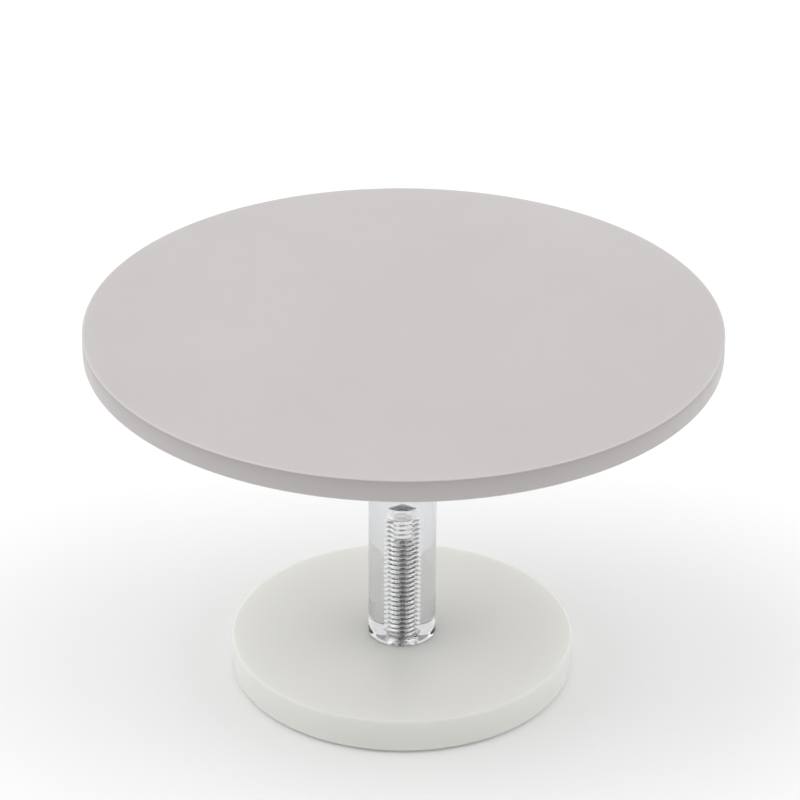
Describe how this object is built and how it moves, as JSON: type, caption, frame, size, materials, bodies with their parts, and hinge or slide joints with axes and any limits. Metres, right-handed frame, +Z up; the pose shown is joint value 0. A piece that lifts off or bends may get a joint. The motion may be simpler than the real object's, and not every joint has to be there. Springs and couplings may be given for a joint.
{
  "type": "cake turntable",
  "caption": "Round frosted acrylic plate that turns on a ball bearing at the top of a clear rod, held by a screw to a smaller round frosted base.",
  "frame": {"origin": "on the turning axis, at the level of the surface that the feet stand on", "axes": "+Z up along the turning axis; the part is round, so +X and +Y are free, and the feet are at 45 degrees to them"},
  "size_m": [0.3, 0.3, 0.1861],
  "materials": {
    "satin_acrylic_plate": "satin frosted acrylic, slightly warm grey, translucent",
    "satin_acrylic_base": "satin frosted acrylic, near-white grey, translucent",
    "clear_acrylic": "polished clear acrylic",
    "stainless_steel": "turned stainless steel",
    "bearing_steel": "ground and polished steel",
    "spring_steel": "phosphated spring steel, dark",
    "natural_nylon": "natural nylon",
    "white_nylon": "white nylon",
    "seal_rubber": "black nitrile rubber, matte",
    "silicone": "translucent silicone"
  },
  "bodies": {
    "stand": {"base_disc": "satin_acrylic_base", "foot_1": "silicone", "foot_2": "silicone", "foot_3": "silicone", "foot_4": "silicone", "base_screw": "stainless_steel", "column_rod": "clear_acrylic", "spindle_washer": "white_nylon", "pivot_spindle": "stainless_steel", "retaining_ring": "spring_steel", "bearing_inner_race": "bearing_steel"},
    "ball_set": {"ball_cage": "natural_nylon", "bearing_ball_1": "bearing_steel", "bearing_ball_2": "bearing_steel", "bearing_ball_3": "bearing_steel", "bearing_ball_4": "bearing_steel", "bearing_ball_5": "bearing_steel", "bearing_ball_6": "bearing_steel", "bearing_ball_7": "bearing_steel"},
    "turntable": {"turntable_plate": "satin_acrylic_plate", "hub_boss": "clear_acrylic", "bearing_outer_race": "bearing_steel", "bearing_seal_lower": "seal_rubber", "bearing_seal_upper": "seal_rubber", "bearing_retainer": "stainless_steel", "retainer_screw_1": "stainless_steel", "retainer_screw_2": "stainless_steel", "retainer_screw_3": "stainless_steel", "retainer_screw_4": "stainless_steel"}
  },
  "joints": [
    {"name": "turntable_spin", "type": "hinge", "parent": "stand", "child": "turntable", "pos_m": [0, 0, 0.1659], "axis": [0, 0, 1], "continuous": true},
    {"name": "ball_set_spin", "type": "hinge", "parent": "stand", "child": "ball_set", "pos_m": [0, 0, 0.1659], "axis": [0, 0, 1], "continuous": true}
  ],
  "couplings": [
    {"joint": "ball_set_spin", "follows": "turntable_spin", "ratio": 0.6353}
  ]
}
